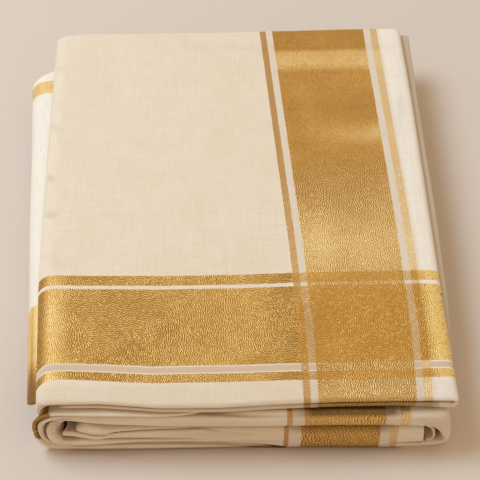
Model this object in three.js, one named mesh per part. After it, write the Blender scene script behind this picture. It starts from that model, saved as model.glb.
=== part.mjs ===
// A kasavu saree folded into a flat packet, lying on its underside.
// Millimetres, +Z up, +X to the right, +Y to the back. The origin is under the middle of the packet.
//
// One cloth is folded end to end into a long bundle, and the bundle is turned over itself at the left
// and at the right. Seen from the front, each ply is a band in the XZ plane. A band runs the whole depth
// of the packet, and its front and back ends are rounded, because the cloth turns there as well.
import * as THREE from 'three';

// ---------------------------------------------------------------- driving dimensions
const HEIGHT = 52;              // packet, from the surface to the top of the pallu
const DEPTH = 385;              // packet, front to back
const FRONT = -DEPTH / 2;
const BACK = DEPTH / 2;
const SIDE_SHIFT = -2;          // moves the stack so that both sides reach equally far
const GAP = 0.3;                // between pieces that lie on each other

// Heights of the plies in the flat middle of the packet, from the top down.
const PALLU_LOW = 46.3;         // under the top bundle, whose upper face is at HEIGHT
const RETURN_TOP = PALLU_LOW - GAP;
const RETURN_LOW = 43.7;        // the pallu's own thin ply, turned under at the right
const EDGE_TOP = RETURN_LOW - GAP;
const EDGE_LOW = 41.4;          // the plies that stick out at the left and right
const WRAP_TOP = EDGE_LOW - GAP;
const WRAP_LOW = 38.9;          // the outer wrap over fold A
const FOLD_A_TOP = WRAP_LOW - GAP;
const FOLD_A_LOW = 25.1;
const FOLD_B_TOP = FOLD_A_LOW - GAP;
const BOTTOM_PLY = 5.3;         // thickness of the outer wrap under the left roll

// The rolls at the ends are joined to folds A and B here.
const LEFT_JOIN = -98;
const RIGHT_JOIN = 122;

// How far a rounded end reaches beyond the full thickness of its ply.
const NOSE_DEPTH = 4.6;
const NOSE_ANGLES = [12, 40, 68, 90];

// How far each part of the front face lies behind the packet's foremost line, at eight places across.
const FRONT_FACE = [
  { x: -135, pallu: 14.0, thin: 11.5, foldA: 13.0, foldB: 7.5 },
  { x: -100, pallu: 13.0, thin: 9.0, foldA: 9.5, foldB: 6.0 },
  { x: -60, pallu: 8.2, thin: 7.0, foldA: 6.5, foldB: 5.8 },
  { x: -20, pallu: 7.0, thin: 7.5, foldA: 4.8, foldB: 5.0 },
  { x: 20, pallu: 8.4, thin: 7.5, foldA: 3.5, foldB: 4.0 },
  { x: 60, pallu: 8.8, thin: 6.5, foldA: 2.8, foldB: 2.5 },
  { x: 100, pallu: 8.0, thin: 4.5, foldA: 1.4, foldB: 1.0 },
  { x: 138, pallu: 6.8, thin: 3.5, foldA: 0.2, foldB: 0.0 },
];

// ---------------------------------------------------------------- small helpers
const clamp01 = (value) => Math.min(1, Math.max(0, value));
const ramp = (value, from, to) => clamp01((value - from) / (to - from));
const smooth = (value, from, to) => {
  const t = ramp(value, from, to);
  return t * t * (3 - 2 * t);
};

// Reads one column of a table whose rows rise in `key`, straight between the rows.
function readTable(table, key, column, at) {
  const last = table.length - 1;
  if (at <= table[0][key]) return table[0][column];
  if (at >= table[last][key]) return table[last][column];
  const next = table.findIndex((row) => row[key] > at);
  const low = table[next - 1];
  const high = table[next];
  const t = (at - low[key]) / (high[key] - low[key]);
  return low[column] + (high[column] - low[column]) * t;
}

const frontAt = (column, x, setback = 0) => FRONT + setback + readTable(FRONT_FACE, 'x', column, x);

// Joins rings of equal length into one closed solid, with a flat cap on the first and the last.
// `flatten` gives the two coordinates in which a cap is triangulated.
function loft(rings, flatten) {
  const count = rings[0].length;
  const position = rings.flat().flatMap((point) => point.toArray());
  const faces = [];
  for (let ring = 0; ring < rings.length - 1; ring += 1) {
    for (let i = 0; i < count; i += 1) {
      const a = ring * count + i;
      const b = ring * count + ((i + 1) % count);
      faces.push([a, b, b + count], [a, b + count, a + count]);
    }
  }
  const capOf = (ring) => THREE.ShapeUtils.triangulateShape(rings[ring].map(flatten), []);
  const last = rings.length - 1;
  const clockwise = THREE.ShapeUtils.isClockWise(rings[0].map(flatten));
  const turn = ([a, b, c]) => [c, b, a];
  const offset = (face, by) => face.map((index) => index + by);
  const firstCap = capOf(0).map((face) => (clockwise ? face : turn(face)));
  const lastCap = capOf(last).map((face) => (clockwise ? turn(face) : face));
  faces.push(...firstCap, ...lastCap.map((face) => offset(face, last * count)));
  const geometry = new THREE.BufferGeometry();
  geometry.setAttribute('position', new THREE.Float32BufferAttribute(position, 3));
  geometry.setIndex(outwards(rings.flat(), faces).flat());
  geometry.computeVertexNormals();
  return geometry;
}

// Turns every face round where the solid they close comes out inside out.
function outwards(points, faces) {
  const volume = faces.reduce((sum, [a, b, c]) => {
    const normal = new THREE.Vector3().crossVectors(points[b], points[c]);
    return sum + points[a].dot(normal);
  }, 0);
  return volume > 0 ? faces : faces.map(([a, b, c]) => [c, b, a]);
}

// ---------------------------------------------------------------- a ply or bundle as a band
// A row of `section` is a place along the band: a point of its outer side (ox, oz) and the one
// across from it on its inner side (ix, iz). `steps` is how many places are worked out between
// two rows. `front` and `back` give the ends in Y, and `bend` moves a point of the section by its Y.
function band({ section, steps, front, back, middle = [], bend = (x, z) => [x, z] }) {
  const side = (x, z) => new THREE.CatmullRomCurve3(
    section.map((row) => new THREE.Vector3(row[x], 0, row[z])), false, 'centripetal',
  );
  const outer = side('ox', 'oz');
  const inner = side('ix', 'iz');
  const places = (section.length - 1) * steps;
  const pairs = Array.from({ length: places + 1 }, (_, i) => (
    [outer.getPoint(i / places), inner.getPoint(i / places)]
  ));
  const ring = (share, yOf) => {
    const at = (from, to) => {
      const centre = from.clone().add(to).multiplyScalar(0.5);
      const point = centre.clone().lerp(from, share);
      const nose = Math.min(NOSE_DEPTH, from.distanceTo(to) / 2);
      const y = yOf(centre.x, nose);
      const [x, z] = bend(point.x, point.z, y);
      return new THREE.Vector3(x + SIDE_SHIFT, y, THREE.MathUtils.clamp(z, 0, HEIGHT));
    };
    return [...pairs.map(([o, i]) => at(o, i)), ...pairs.map(([o, i]) => at(i, o)).reverse()];
  };
  const angles = NOSE_ANGLES.map((angle) => THREE.MathUtils.degToRad(angle));
  const rings = [
    ...angles.map((a) => ring(Math.sin(a), (x, nose) => front(x) + nose * (1 - Math.cos(a)))),
    ...middle.map((y) => ring(1, () => y)),
    ...angles.map((a) => ring(Math.sin(a), (x, nose) => back - nose * (1 - Math.cos(a)))).reverse(),
  ];
  return loft(rings, (point) => new THREE.Vector2(point.x, point.z));
}

// ---------------------------------------------------------------- a bundle of hidden plies
// A row of `stack` gives the bundle's underside and top at x. Its front is one rounded fold.
// Its back shows the plies: `plies` rounded edges, each a little in or out from the next.
const PLY_STAGGER = [0, 1.8, 0.6, 2.4, 1.2];

function bundle({ stack, column, back, plies }) {
  const edgeArc = [-60, 0, 60].map((angle) => THREE.MathUtils.degToRad(angle));
  const noseArc = [-90, -60, -30, 0, 30, 60, 90].map((angle) => THREE.MathUtils.degToRad(angle));
  const rings = stack.map(({ x, low, high }) => {
    const middle = (low + high) / 2;
    const half = (high - low) / 2;
    const nose = Math.min(NOSE_DEPTH, half);
    const frontY = frontAt(column, x) + nose;
    const points = noseArc.map((angle) => [frontY - nose * Math.cos(angle), middle - half * Math.sin(angle)]);
    const ply = (high - low) / plies;
    for (let i = 0; i < plies; i += 1) {
      const centre = low + ply * (i + 0.5);
      const edge = back - PLY_STAGGER[i % PLY_STAGGER.length] - ply / 2;
      edgeArc.forEach((angle) => {
        points.push([edge + (ply / 2) * Math.cos(angle), centre + (ply / 2) * Math.sin(angle)]);
      });
    }
    return points.map(([y, z]) => new THREE.Vector3(x + SIDE_SHIFT, y, z));
  });
  return loft(rings, (point) => new THREE.Vector2(point.y, point.z));
}

// ---------------------------------------------------------------- the pallu on top
// It droops over the left end at the front corner, lies above the left flap behind that, and narrows
// to the back. At the right it turns under, round a small hollow, into the thin ply below it.
const PALLU_LEFT_IN = 11;
const PALLU_SECTION = [
  { ox: -142.2, oz: 39.0, ix: -139.4, iz: 39.2 },
  { ox: -142.4, oz: 43.5, ix: -139.2, iz: 42.6 },
  { ox: -140.6, oz: 48.4, ix: -137.0, iz: 45.4 },
  { ox: -135.5, oz: 51.0, ix: -133.0, iz: 46.2 },
  { ox: -124.0, oz: HEIGHT - 0.1, ix: -124.0, iz: PALLU_LOW },
  { ox: -60.0, oz: HEIGHT, ix: -60.0, iz: PALLU_LOW },
  { ox: 40.0, oz: HEIGHT, ix: 40.0, iz: PALLU_LOW },
  { ox: 115.0, oz: HEIGHT, ix: 115.0, iz: PALLU_LOW },
  { ox: 130.0, oz: 51.9, ix: 129.0, iz: 47.6 },
  { ox: 139.5, oz: 51.2, ix: 137.4, iz: 48.5 },
  { ox: 144.4, oz: 47.8, ix: 139.8, iz: 47.7 },
  { ox: 141.0, oz: 44.2, ix: 138.2, iz: 46.7 },
  { ox: 133.0, oz: RETURN_LOW, ix: 133.0, iz: 46.3 },
  { ox: 118.0, oz: RETURN_LOW, ix: 118.0, iz: RETURN_TOP },
  { ox: 20.0, oz: RETURN_LOW, ix: 20.0, iz: RETURN_TOP },
  { ox: -126.0, oz: RETURN_LOW, ix: -126.0, iz: RETURN_TOP },
];

function bendPallu(x, z, y) {
  const inward = PALLU_LEFT_IN * ramp(y, FRONT + 110, BACK) ** 1.4 * ramp(x, -100, -128);
  const hanging = x < -130 && z < 46.2 ? 46.2 - z : 0;
  const lift = hanging * 0.72 * smooth(y, FRONT + 15.5, FRONT + 20);
  return [x + inward, z + lift];
}

const palluPanel = () => band({
  section: PALLU_SECTION,
  steps: 2,
  front: (x) => frontAt('pallu', x),
  back: BACK - 1,
  middle: [20.2, 60, 110, 190, 260, 330].map((behind) => FRONT + behind),
  bend: bendPallu,
});

// ---------------------------------------------------------------- plies that stick out at the sides
const FLAP_FRONT = FRONT + 21;
const FLAP_BACK = BACK - 32;
const FLAP_SECTION = [
  { ox: -1.0, oz: EDGE_TOP, ix: -1.0, iz: EDGE_LOW },
  { ox: -128.0, oz: EDGE_TOP, ix: -128.0, iz: EDGE_LOW },
  { ox: -138.0, oz: 43.0, ix: -137.6, iz: 41.0 },
  { ox: -144.5, oz: 41.2, ix: -143.5, iz: 39.4 },
  { ox: -149.2, oz: 37.2, ix: -147.6, iz: 36.0 },
  { ox: -151.3, oz: 31.5, ix: -149.4, iz: 31.0 },
  { ox: -151.2, oz: 25.0, ix: -149.2, iz: 25.0 },
  { ox: -149.8, oz: 19.0, ix: -147.9, iz: 19.4 },
];

const leftFlap = () => band({
  section: FLAP_SECTION,
  steps: 2,
  front: () => FLAP_FRONT,
  back: FLAP_BACK,
  middle: [FRONT + 130, FRONT + 250],
  bend: (x, z, y) => [x + 2 * ramp(x, -136, -149) * (1 - ramp(y, FRONT + 20, FRONT + 250)), z],
});

const RIGHT_REACH = [
  { behind: 20, reach: 142.0 },
  { behind: 60, reach: 147.2 },
  { behind: 105, reach: 150.0 },
  { behind: 190, reach: 152.6 },
  { behind: 300, reach: 153.8 },
  { behind: 384, reach: 155.6 },
];
const rightReach = (y) => readTable(RIGHT_REACH, 'behind', 'reach', y - FRONT);
const toReach = (x, y, short) => x - (150 - rightReach(y) + short) * ramp(x, 110, 148);

const RIGHT_PLY_SECTION = [
  { ox: -0.6, oz: EDGE_TOP, ix: -0.6, iz: EDGE_LOW },
  { ox: 110.0, oz: EDGE_TOP, ix: 110.0, iz: EDGE_LOW },
  { ox: 140.0, oz: EDGE_TOP, ix: 140.0, iz: EDGE_LOW },
  { ox: 147.0, oz: 42.9, ix: 146.6, iz: 41.1 },
  { ox: 150.0, oz: 41.6, ix: 149.4, iz: 40.2 },
];

const rightPly = () => band({
  section: RIGHT_PLY_SECTION,
  steps: 2,
  front: () => FRONT + 19,
  back: BACK,
  middle: [60, 105, 190, 300].map((behind) => FRONT + behind),
  bend: (x, z, y) => [toReach(x, y, 0), z],
});

// ---------------------------------------------------------------- plies wrapped round the left side
const OUTER_WRAP_SECTION = [
  { ox: 150.0, oz: 39.8, ix: 149.6, iz: 38.2 },
  { ox: 140.0, oz: WRAP_TOP, ix: 140.0, iz: WRAP_LOW },
  { ox: 110.0, oz: WRAP_TOP, ix: 110.0, iz: WRAP_LOW },
  { ox: 0.0, oz: WRAP_TOP, ix: 0.0, iz: WRAP_LOW },
  { ox: -118.0, oz: WRAP_TOP, ix: -118.0, iz: WRAP_LOW },
  { ox: -131.5, oz: 40.3, ix: -130.2, iz: 38.1 },
  { ox: -140.0, oz: 37.4, ix: -138.0, iz: 35.1 },
  { ox: -144.8, oz: 32.4, ix: -141.9, iz: 31.2 },
  { ox: -146.2, oz: 25.5, ix: -143.0, iz: 25.4 },
  { ox: -145.4, oz: 18.0, ix: -142.2, iz: 18.8 },
  { ox: -143.2, oz: 10.6, ix: -140.2, iz: 12.2 },
  { ox: -139.4, oz: 4.0, ix: -136.0, iz: 7.2 },
  { ox: -133.5, oz: 0.5, ix: -130.4, iz: 5.6 },
  { ox: -126.0, oz: 0.0, ix: -124.0, iz: BOTTOM_PLY },
  { ox: -57.0, oz: 0.0, ix: -57.0, iz: BOTTOM_PLY },
  { ox: -32.0, oz: 0.0, ix: -32.0, iz: 5.0 },
  { ox: -10.0, oz: 0.0, ix: -10.0, iz: 3.4 },
  { ox: 9.0, oz: 0.0, ix: 9.0, iz: 1.0 },
];

const wrapFront = (x) => Math.min(frontAt('thin', x), frontAt('thin', -100) + 3);

const outerWrap = () => band({
  section: OUTER_WRAP_SECTION,
  steps: 2,
  front: wrapFront,
  back: BACK - 3,
  middle: [30, 60, 105, 190, 300].map((behind) => FRONT + behind),
  bend: (x, z, y) => [toReach(x, y, 3.2), z],
});

const SECOND_WRAP_SECTION = [
  { ox: -92.0, oz: 38.5, ix: -92.0, iz: 37.7 },
  { ox: -119.0, oz: 38.4, ix: -119.0, iz: 36.6 },
  { ox: -130.2, oz: 37.5, ix: -128.8, iz: 35.0 },
  { ox: -137.6, oz: 34.6, ix: -134.4, iz: 31.8 },
  { ox: -141.3, oz: 30.8, ix: -137.3, iz: 28.4 },
  { ox: -142.5, oz: 25.4, ix: -138.4, iz: 24.6 },
  { ox: -141.8, oz: 19.2, ix: -138.1, iz: 19.4 },
  { ox: -139.7, oz: 12.9, ix: -136.5, iz: 14.0 },
  { ox: -135.7, oz: 7.9, ix: -132.8, iz: 9.8 },
  { ox: -129.8, oz: 6.1, ix: -127.6, iz: 7.7 },
  { ox: -118.0, oz: 5.8, ix: -118.0, iz: 6.9 },
  { ox: -101.0, oz: 5.7, ix: -101.0, iz: 6.4 },
];

const secondWrap = () => band({
  section: SECOND_WRAP_SECTION,
  steps: 2,
  front: () => FRONT + 10.5,
  back: BACK - 6,
});

// ---------------------------------------------------------------- the rolls at the two ends
const LEFT_ROLL_SECTION = [
  { ox: LEFT_JOIN, oz: 37.3, ix: LEFT_JOIN, iz: 27.4 },
  { ox: -109.0, oz: 36.9, ix: -109.0, iz: 29.2 },
  { ox: -119.0, oz: 36.2, ix: -118.0, iz: 31.3 },
  { ox: -128.2, oz: 34.5, ix: -124.2, iz: 31.9 },
  { ox: -133.7, oz: 31.3, ix: -128.6, iz: 29.8 },
  { ox: -136.7, oz: 28.0, ix: -130.9, iz: 26.6 },
  { ox: -137.7, oz: 24.2, ix: -131.6, iz: 22.8 },
  { ox: -137.5, oz: 19.4, ix: -131.1, iz: 19.2 },
  { ox: -136.0, oz: 14.2, ix: -129.2, iz: 16.4 },
  { ox: -132.4, oz: 10.2, ix: -125.8, iz: 15.3 },
  { ox: -127.4, oz: 8.1, ix: -120.0, iz: 15.8 },
  { ox: -118.0, oz: 7.3, ix: -112.0, iz: 16.3 },
  { ox: LEFT_JOIN, oz: 6.8, ix: LEFT_JOIN, iz: 16.6 },
];

const rollFront = (x) => frontAt('foldB', x) + 1;

const leftRoll = () => band({
  section: LEFT_ROLL_SECTION,
  steps: 2,
  front: rollFront,
  back: BACK - 5,
});

const HOLLOW_PLY_SECTION = [
  { ox: LEFT_JOIN, oz: 27.0, ix: LEFT_JOIN, iz: 17.0 },
  { ox: -107.0, oz: 28.4, ix: -108.0, iz: 16.9 },
  { ox: -112.5, oz: 29.2, ix: -114.0, iz: 16.7 },
  { ox: -115.0, oz: 27.0, ix: -119.0, iz: 17.0 },
];

const hollowPly = () => band({
  section: HOLLOW_PLY_SECTION,
  steps: 2,
  front: (x) => frontAt('foldB', x) + 0.6 + 12 * ramp(x, -100, -116),
  back: BACK - 9,
});

const RIGHT_ROLL_SECTION = [
  { ox: RIGHT_JOIN, oz: FOLD_A_TOP, ix: RIGHT_JOIN, iz: FOLD_A_LOW },
  { ox: 130.0, oz: 38.2, ix: 126.0, iz: 24.9 },
  { ox: 136.0, oz: 36.0, ix: 130.2, iz: 23.9 },
  { ox: 139.2, oz: 31.2, ix: 133.8, iz: 21.4 },
  { ox: 140.7, oz: 24.0, ix: 136.4, iz: 18.0 },
  { ox: 141.0, oz: 14.0, ix: 137.5, iz: 13.2 },
  { ox: 140.3, oz: 7.2, ix: 137.0, iz: 8.8 },
  { ox: 137.8, oz: 2.6, ix: 134.8, iz: 6.4 },
  { ox: 133.6, oz: 0.4, ix: 131.6, iz: 5.6 },
  { ox: 128.0, oz: 0.0, ix: 126.0, iz: 5.0 },
  { ox: 106.6, oz: 0.0, ix: 106.6, iz: 1.0 },
];

const rightRoll = () => band({
  section: RIGHT_ROLL_SECTION,
  steps: 2,
  front: (x) => frontAt('foldA', x),
  back: BACK - 4,
});

const RIGHT_INNER_SECTION = [
  { ox: 124.0, oz: 24.3, ix: 124.0, iz: 22.5 },
  { ox: 128.4, oz: 23.0, ix: 127.6, iz: 21.4 },
  { ox: 131.4, oz: 19.4, ix: 129.8, iz: 18.6 },
  { ox: 132.4, oz: 14.0, ix: 130.6, iz: 14.0 },
  { ox: 131.8, oz: 9.0, ix: 130.0, iz: 9.6 },
  { ox: 129.6, oz: 6.3, ix: 128.4, iz: 7.8 },
  { ox: 125.0, oz: 5.6, ix: 125.0, iz: 7.2 },
];

const rightInnerPly = () => band({
  section: RIGHT_INNER_SECTION,
  steps: 2,
  front: () => FRONT + 4.5,
  back: BACK - 8,
});

// ---------------------------------------------------------------- the two folds of the front face
const foldA = () => bundle({
  stack: [
    { x: LEFT_JOIN + GAP, low: 27.4, high: 37.3 },
    { x: -90, low: 26.0, high: 37.4 },
    { x: -80, low: FOLD_A_LOW, high: FOLD_A_TOP },
    { x: -60, low: FOLD_A_LOW, high: FOLD_A_TOP },
    { x: -20, low: FOLD_A_LOW, high: FOLD_A_TOP },
    { x: 20, low: FOLD_A_LOW, high: FOLD_A_TOP },
    { x: 60, low: FOLD_A_LOW, high: FOLD_A_TOP },
    { x: 100, low: FOLD_A_LOW, high: FOLD_A_TOP },
    { x: RIGHT_JOIN - GAP, low: FOLD_A_LOW, high: FOLD_A_TOP },
  ],
  column: 'foldA',
  back: BACK - 4,
  plies: 3,
});

const foldB = () => bundle({
  stack: [
    { x: LEFT_JOIN + GAP, low: 6.8, high: 27.0 },
    { x: -90, low: 6.0, high: 25.7 },
    { x: -80, low: BOTTOM_PLY + GAP, high: FOLD_B_TOP },
    { x: -57, low: BOTTOM_PLY + GAP, high: FOLD_B_TOP },
    { x: -32, low: 5.4, high: FOLD_B_TOP },
    { x: -10, low: 3.8, high: FOLD_B_TOP },
    { x: 9, low: 1.5, high: FOLD_B_TOP },
    { x: 10, low: 0, high: FOLD_B_TOP },
    { x: 60, low: 0, high: FOLD_B_TOP },
    { x: 104, low: 0, high: FOLD_B_TOP },
    { x: 106, low: 1.5, high: FOLD_B_TOP },
    { x: 118, low: 3.9, high: FOLD_B_TOP },
    { x: RIGHT_JOIN, low: 6.0, high: 23.6 },
  ],
  column: 'foldB',
  back: BACK - 5.5,
  plies: 5,
});

// ---------------------------------------------------------------- the packet
const CREAM = { color: 0xe8dcc3, roughness: 0.85, metalness: 0.0 };
const CREAM_SHADE = { color: 0xc9b38e, roughness: 0.85, metalness: 0.0 };
const GOLD_CREAM = { color: 0xc9a566, roughness: 0.6, metalness: 0.3 };

const PIECES = [
  { name: 'pallu_panel', build: palluPanel, finish: CREAM },
  { name: 'left_flap', build: leftFlap, finish: CREAM },
  { name: 'right_ply', build: rightPly, finish: CREAM },
  { name: 'outer_wrap', build: outerWrap, finish: GOLD_CREAM },
  { name: 'second_wrap', build: secondWrap, finish: CREAM_SHADE },
  { name: 'left_roll', build: leftRoll, finish: CREAM },
  { name: 'hollow_ply', build: hollowPly, finish: CREAM_SHADE },
  { name: 'fold_a', build: foldA, finish: CREAM },
  { name: 'fold_b', build: foldB, finish: CREAM_SHADE },
  { name: 'right_roll', build: rightRoll, finish: CREAM },
  { name: 'right_inner_ply', build: rightInnerPly, finish: CREAM_SHADE },
];

const group = new THREE.Group();
for (const { name, build, finish } of PIECES) {
  const mesh = new THREE.Mesh(build(), new THREE.MeshStandardMaterial(finish));
  mesh.name = name;
  group.add(mesh);
}

export default group;
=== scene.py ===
"""Kasavu saree folded in a packet: the cloth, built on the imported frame.

The tables are in millimetres, in the packet's own coordinates: X to the right, Z up, and for the
depth either Y or the distance behind the packet's foremost line. Every stretch of cloth is a band
in the XZ plane that runs from the front to the back, or a bundle of plies with a rounded front.
"""
import math

import bpy
import numpy as np
from mathutils import Matrix, Vector


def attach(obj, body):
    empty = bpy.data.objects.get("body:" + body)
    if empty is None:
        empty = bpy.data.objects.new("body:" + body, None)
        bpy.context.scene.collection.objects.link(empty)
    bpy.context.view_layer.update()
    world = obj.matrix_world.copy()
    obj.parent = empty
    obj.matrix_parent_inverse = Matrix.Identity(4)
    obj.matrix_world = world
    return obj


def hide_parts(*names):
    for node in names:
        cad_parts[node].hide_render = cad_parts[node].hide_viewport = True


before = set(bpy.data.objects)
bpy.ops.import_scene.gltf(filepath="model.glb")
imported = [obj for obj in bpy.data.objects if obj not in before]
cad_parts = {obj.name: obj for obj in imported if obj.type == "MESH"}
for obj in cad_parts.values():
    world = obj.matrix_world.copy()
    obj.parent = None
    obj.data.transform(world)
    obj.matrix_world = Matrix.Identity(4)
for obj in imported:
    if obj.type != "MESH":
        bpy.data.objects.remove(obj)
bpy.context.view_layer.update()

# ---- driving dimensions
MM = 0.001
HEIGHT = 52.0
FRONT, BACK = -192.5, 192.5
SIDE_SHIFT = -2.0  # from the packet's own X to the frame's
PALLU_LOW = 46.3  # the underside of the top ply
RETURN_TOP, RETURN_LOW = 46.0, 43.7  # the same ply on its way back
TUCKED = 46.2  # what is lower on that ply is turned under or hangs down
EDGE_TOP, EDGE_LOW = 43.4, 41.4  # the plies that stick out at the sides
WRAP_TOP, WRAP_LOW = 41.1, 38.9
FOLD_A_TOP, FOLD_A_LOW = 38.6, 25.1
LEFT_JOIN, RIGHT_JOIN = -98.0, 122.0  # where the folds meet the rolls
SEAM = 0.01  # what a bundle stops short of the roll beside it
HOLD = 0.05  # how near a square end the column lies that keeps it sharp
NOSE_DEPTH, WRAP_NOSE = 4.6, 2.6  # the deepest rounding of a front or back edge
ROUNDING = np.radians(np.arange(7.5, 84, 7.5))  # the rings of that rounding
FACE_DEPTH = 30.0  # what lies less far behind the foremost line belongs to the front face
COARSE = 4.0  # how much wider the columns of a hidden segment are
PLY_IN = [0.4, 2.1, 0.0, 1.2, 2.6, 0.7, 1.7]  # how far hidden plies stay back from the packet's back
PLY_EDGE = np.radians([-84, -55, -20, 20, 55, 84])  # the rounding of their edges
PROFILE_STEP = 0.55  # height of a facet of a rounded fold

# Shade in the grooves between plies: its strength, how far it reaches above and below a groove, how
# deep a groove has it in full, and its share under the uppermost ply.
GROOVE_SHADE = 0.6
GROOVE_OVER, GROOVE_REACH, GROOVE_FULL, GROOVE_TOP_SHARE = 0.4, 1.1, 2.8, 0.25

# How far each part of the front face lies behind the foremost line.
FACE_X = [-135, -100, -60, -40, -28, -18, 0, 20, 60, 100, 138]
FACE = {
    "pallu": [14.0, 13.0, 8.2, 7.6, 7.2, 7.0, 7.7, 8.4, 8.8, 8.0, 6.8],
    "thin": [11.5, 9.0, 7.0, 8.0, 11.0, 15.0, 17.0, 17.0, 16.0, 15.0, 14.0],
    "fold_a": [13.0, 9.5, 6.5, 5.6, 5.1, 4.8, 4.1, 3.5, 2.8, 1.4, 0.2],
    "fold_b": [7.5, 6.0, 5.8, 5.4, 5.2, 5.0, 4.5, 4.0, 2.5, 1.0, 0.0],
}

# Sections: a point of the outer side (x, z) and the one across from it on the inner side (x, z).
PALLU_SECTION = [
    (-142.2, 38.0, -139.6, 38.0), (-142.4, 43.0, -139.0, 41.0), (-140.9, 48.2, -135.6, 44.2),
    (-136.0, 51.2, -130.0, 46.2), (-124.0, 52.0, -121.5, 47.5), (-104.0, HEIGHT, -104.0, 48.0),
    (-84.0, HEIGHT, -84.0, 47.2), (-60.0, HEIGHT, -60.0, PALLU_LOW), (40.0, HEIGHT, 40.0, PALLU_LOW),
    (115.0, HEIGHT, 115.0, PALLU_LOW), (128.0, HEIGHT, 127.5, 47.0), (137.5, 51.8, 135.5, 47.5),
    (141.8, 50.9, 139.4, 47.2), (144.0, 48.4, 141.0, 46.9), (144.2, 45.6, 141.3, 46.2),
    (142.2, 43.9, 140.2, 45.5), (137.0, RETURN_LOW, 136.5, 45.8), (128.0, RETURN_LOW, 128.0, 45.9),
    (118.0, RETURN_LOW, 118.0, RETURN_TOP), (20.0, RETURN_LOW, 20.0, RETURN_TOP),
    (-70.0, RETURN_LOW, -70.0, RETURN_TOP), (-126.0, RETURN_LOW, -126.0, RETURN_TOP),
]
FLAP_SECTION = [
    (-1.0, EDGE_TOP, -1.0, EDGE_LOW), (-128.0, EDGE_TOP, -128.0, EDGE_LOW), (-138.0, 43.0, -137.6, 41.0),
    (-144.5, 41.2, -143.5, 39.4), (-149.2, 37.2, -147.6, 36.0), (-151.3, 31.5, -149.4, 31.0),
    (-151.2, 25.0, -149.2, 25.0), (-149.8, 19.0, -147.9, 19.4),
]
RIGHT_PLY_SECTION = [
    (-0.6, EDGE_TOP, -0.6, EDGE_LOW), (110.0, EDGE_TOP, 110.0, EDGE_LOW), (140.0, EDGE_TOP, 140.0, EDGE_LOW),
    (147.0, 42.9, 146.6, 41.1), (150.0, 41.6, 149.4, 40.2),
]
OUTER_WRAP_SECTION = [
    (150.0, 39.8, 149.6, 38.2), (140.0, WRAP_TOP, 140.0, WRAP_LOW), (110.0, WRAP_TOP, 110.0, WRAP_LOW),
    (0.0, WRAP_TOP, 0.0, WRAP_LOW), (-118.0, WRAP_TOP, -118.0, WRAP_LOW), (-131.5, 40.3, -130.2, 38.1),
    (-140.0, 37.4, -138.0, 35.1), (-144.8, 32.4, -141.9, 31.2), (-146.2, 25.5, -143.0, 25.4),
    (-145.4, 18.0, -142.2, 18.8), (-143.2, 10.6, -140.2, 12.2), (-139.4, 4.0, -136.0, 7.2),
    (-133.5, 0.5, -130.4, 6.2), (-126.0, 0.0, -124.0, 7.2), (-117.5, 0.0, -117.5, 7.7),
    (-98.0, 0.0, -98.0, 9.2), (-73.0, 0.0, -73.0, 9.8), (-32.0, 0.0, -32.0, 8.5), (-10.0, 0.0, -10.0, 6.7),
    (7.5, 0.0, 7.5, 4.5), (20.0, 0.0, 20.0, 2.2), (28.0, 0.0, 28.0, 1.0),
]
SECOND_WRAP_SECTION = [
    (-92.0, 38.5, -92.0, 37.7), (-119.0, 38.4, -119.0, 36.6), (-130.2, 37.5, -128.8, 35.2),
    (-137.6, 34.6, -134.6, 32.4), (-141.3, 30.8, -137.8, 29.0), (-142.5, 25.4, -138.6, 24.6),
    (-141.8, 19.2, -138.4, 19.4), (-139.7, 12.9, -136.6, 14.2), (-136.2, 8.4, -133.4, 10.4),
    (-131.0, 6.9, -129.9, 8.2),
]
LEFT_ROLL_SECTION = [
    (LEFT_JOIN, 37.3, LEFT_JOIN, 27.4), (-109.0, 36.9, -109.5, 29.0), (-118.5, 36.2, -117.0, 30.4),
    (-127.0, 34.9, -122.2, 30.6), (-132.6, 32.0, -125.6, 28.2), (-135.8, 28.4, -127.8, 25.0),
    (-136.8, 24.2, -129.3, 21.6), (-136.6, 19.4, -129.4, 18.4), (-135.0, 14.6, -127.6, 15.6),
    (-131.6, 11.2, -124.2, 13.9), (-126.0, 9.0, -119.5, 13.6), (-117.5, 8.2, -112.0, 14.6),
    (-109.0, 8.6, -107.0, 15.5), (LEFT_JOIN, 9.6, LEFT_JOIN, 16.6),
]
HOLLOW_UPPER_SECTION = [
    (LEFT_JOIN, 27.1, LEFT_JOIN, 21.3), (-105.0, 28.1, -107.0, 20.7), (-110.5, 28.7, -114.0, 20.4),
    (-113.2, 28.2, -118.4, 20.3),
]
HOLLOW_LOWER_SECTION = [
    (LEFT_JOIN, 21.0, LEFT_JOIN, 16.9), (-107.0, 20.4, -107.0, 15.8), (-113.0, 20.1, -113.0, 15.0),
    (-120.0, 19.6, -119.6, 14.1), (-126.5, 19.0, -125.2, 15.6),
]
RIGHT_ROLL_SECTION = [
    (RIGHT_JOIN, FOLD_A_TOP, RIGHT_JOIN, FOLD_A_LOW), (130.0, FOLD_A_TOP, 126.0, 24.6),
    (135.4, 38.0, 129.5, 22.4), (138.4, 35.4, 132.5, 19.2), (139.8, 30.6, 134.6, 15.6),
    (140.6, 23.0, 136.0, 12.2), (140.8, 14.0, 136.3, 9.4), (140.2, 7.2, 135.4, 7.2),
    (137.6, 2.8, 133.2, 6.0), (133.2, 0.5, 130.4, 5.4), (127.0, 0.0, 126.0, 5.0), (106.6, 0.0, 106.6, 1.0),
]
RIGHT_INNER_SECTION = [
    (124.0, 24.2, 124.0, 22.5), (127.4, 22.2, 126.6, 20.8), (129.8, 18.8, 128.4, 18.0),
    (131.0, 14.0, 129.4, 14.0), (130.8, 9.4, 129.2, 9.8), (129.0, 6.6, 127.8, 8.0), (125.0, 5.9, 125.0, 7.3),
]
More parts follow.
